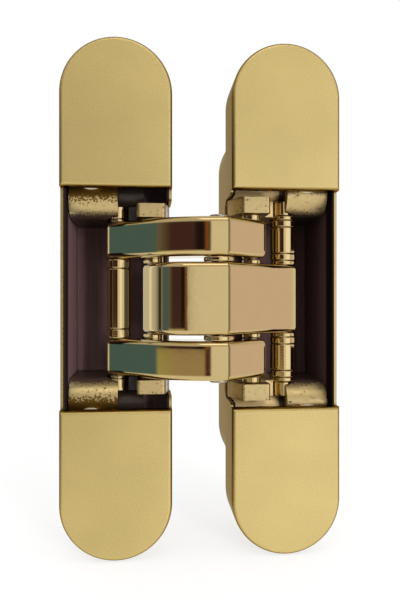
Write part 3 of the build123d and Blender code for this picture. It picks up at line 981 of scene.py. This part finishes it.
    def ring_of_studio(self, left_front):
        """What stands round the hinge, as a ramp from behind by the right and the front to the left."""
        bright = (1.42, 1.42, 1.60)
        green = (0.10, 0.13, 0.08)
        grey = (0.35, 0.33, 0.30)
        ring = [
            (-110.0, WHITE),
            (-92.0, BLUSH),
            (-72.0, BLUSH),
            (-69.0, green),
            (-60.0, green),
            (-56.0, WHITE),
            (-50.0, bright),
            (-17.0, bright),
            (-10.0, WHITE),
            (6.2, WHITE),
            *left_front,
            (69.0, TEAL),
            (88.0, TEAL),
            (97.0, grey),
            (118.0, grey),
            (126.0, WHITE),
        ]
        return [(0.5 + degrees / 360, colour) for degrees, colour in ring]

    def add_cards(self, scene, stage):
        """Cards that the arms' ends mirror, where the leaves' walls would hide the studio's sides."""
        frame_low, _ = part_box("frame_housing")
        _, door_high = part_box("door_housing")
        depths = (frame_low.y, frame_low.y + stage.card_depth)
        # The rear of a side card is white, for a thin bright line round the arm's end
        for arm in ("outer_arm_upper", "outer_arm_lower"):
            levels = self.card_levels(arm, stretch=1.06)
            x = frame_low.x + stage.card_inset
            self.add_card(scene, f"{arm}_card", x, depths, levels, [(0.5, TEAL), (0.6, WHITE)])
        levels = self.card_levels("centre_arm", stretch=1.5)
        x = door_high.x - stage.card_inset
        self.add_card(scene, "centre_arm_card", x, depths, levels, [(0.5, BLUSH), (0.6, WHITE)])
        levels = self.card_levels("centre_arm", stretch=1.1)
        nose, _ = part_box("centre_arm")
        x = nose.x - stage.nose_card_gap
        depths = (stage.nose_card_front, stage.nose_card_front + stage.nose_card_depth)
        # Towards the nose a gleam between two softer parts, towards the tube a bright front half
        gleam = [(0.0, 0.1), (0.30, 0.6), (0.42, 0.72), (0.50, 1.25), (0.56, 0.82), (1.0, 0.74)]
        to_nose = [(place, 3 * (level,)) for place, level in gleam]
        dim = (0.13, 0.12, 0.12)
        to_tube = [(0.44, WHITE), (0.56, dim)]
        self.add_card(scene, "nose_card", x, depths, levels, to_nose, to_tube)

    def card_levels(self, arm, stretch):
        """The lower and upper end of an arm, moved out from the middle for its card."""
        low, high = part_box(arm)
        return stretch * low.z, stretch * high.z

    def add_card(self, scene, name, x, depths, levels, stops, rear_stops=None):
        """A glowing paper card across X, shaded from front to back and seen only in polished metal."""
        near, far = depths
        low, high = levels
        corners = [(x, near, low), (x, far, low), (x, far, high), (x, near, high)]
        card = self.add_sheet(scene, name, corners)
        material, tree, shader, place = new_material(f"{name}_paper")
        depth = add_node(tree, AXES, {"Vector": place}, output="Y")
        share = add_node(tree, RANGE, {"Value": depth, "From Min": near, "From Max": far})
        face = add_node(tree, RAMP, {"Fac": share})
        set_ramp(face.node.color_ramp, stops)
        back = add_node(tree, RAMP, {"Fac": share})
        set_ramp(back.node.color_ramp, rear_stops or stops)
        rear = add_node(tree, "ShaderNodeNewGeometry", output="Backfacing")
        glow = add_node(tree, MIX, {"Factor": rear, "A": face, "B": back}, data_type="RGBA")
        tree.links.new(glow, shader.inputs["Emission Color"])
        shader.inputs["Emission Strength"].default_value = 1.0
        shader.inputs["Base Color"].default_value = opaque(BLACK)
        shader.inputs["Specular IOR Level"].default_value = 0.0
        card.data.materials.append(material)
        card.visible_camera = False
        card.visible_diffuse = False
        card.visible_shadow = False

    def add_lamps(self, scene, stage):
        """A soft lamp high in front for the floor's shadow, and one to the right for the pockets."""
        for lamp in ("front", "side"):
            light = bpy.data.lights.new(f"{lamp}_lamp", "AREA")
            light.shape = "RECTANGLE"
            light.size = getattr(stage, f"{lamp}_lamp_width")
            light.size_y = stage.lamp_height
            light.energy = getattr(stage, f"{lamp}_lamp_power")
            softbox = bpy.data.objects.new(f"{lamp}_lamp", light)
            softbox.location = getattr(stage, f"{lamp}_lamp_place")
            aim = softbox.location.copy()
            aim.x -= middle_x
            softbox.rotation_euler = aim.to_track_quat("Z", "Y").to_euler()
            # Polished metal mirrors the ring of the studio in the side lamp's place
            softbox.visible_glossy = lamp != "side"
            scene.collection.objects.link(softbox)

    def add_camera(self, scene, stage):
        """A viewpoint close in front, level and turned a little to the right."""
        lens = bpy.data.cameras.new("camera")
        lens.sensor_fit = "VERTICAL"
        lens.sensor_height = 36.0
        lens.lens = stage.camera_lens
        lens.clip_start = 0.01
        lens.clip_end = 20.0
        camera = bpy.data.objects.new("camera", lens)
        camera.location = stage.camera_place
        camera.rotation_euler = (math.radians(90), 0.0, -stage.camera_turn)
        scene.collection.objects.link(camera)
        scene.camera = camera


class HINGE_PT_panel(bpy.types.Panel):
    """Lists the hinge's settings and the steps that dress it"""

    bl_idname = "HINGE_PT_panel"
    bl_label = "Concealed Hinge"
    bl_space_type = "VIEW_3D"
    bl_region_type = "UI"
    bl_category = "Hinge"

    def draw(self, context):
        layout = self.layout
        for group_name, group_class in GROUPS.items():
            group = getattr(context.scene, group_name)
            column = layout.column()
            for name in group_class.__annotations__:
                column.prop(group, name)
        for step in STEPS:
            layout.operator(step.bl_idname)


STEPS = (
    HINGE_OT_leaves,
    HINGE_OT_caps,
    HINGE_OT_carriers,
    HINGE_OT_arms,
    HINGE_OT_turned_parts,
    HINGE_OT_pins,
    HINGE_OT_adjusting_screws,
    HINGE_OT_stage,
)
GROUPS = {
    "hinge_sizes": HingeSizes,
    "hinge_screws": HingeScrews,
    "hinge_finish": HingeFinish,
    "hinge_stage": HingeStage,
}


def register():
    """Adds the property groups, the operators and the panel."""
    for name, group in GROUPS.items():
        bpy.utils.register_class(group)
        setattr(bpy.types.Scene, name, bpy.props.PointerProperty(type=group))
    for step in STEPS:
        bpy.utils.register_class(step)
    bpy.utils.register_class(HINGE_PT_panel)


def unregister():
    """Takes them out again, in the opposite order."""
    bpy.utils.unregister_class(HINGE_PT_panel)
    for step in reversed(STEPS):
        bpy.utils.unregister_class(step)
    for name, group in reversed(GROUPS.items()):
        delattr(bpy.types.Scene, name)
        bpy.utils.unregister_class(group)


def main():
    """Runs every step in order."""
    register()
    bpy.ops.hinge.leaves()
    bpy.ops.hinge.caps()
    bpy.ops.hinge.carriers()
    bpy.ops.hinge.arms()
    bpy.ops.hinge.turned_parts()
    bpy.ops.hinge.pins()
    bpy.ops.hinge.adjusting_screws()
    bpy.ops.hinge.stage()


if __name__ == "__main__":
    main()
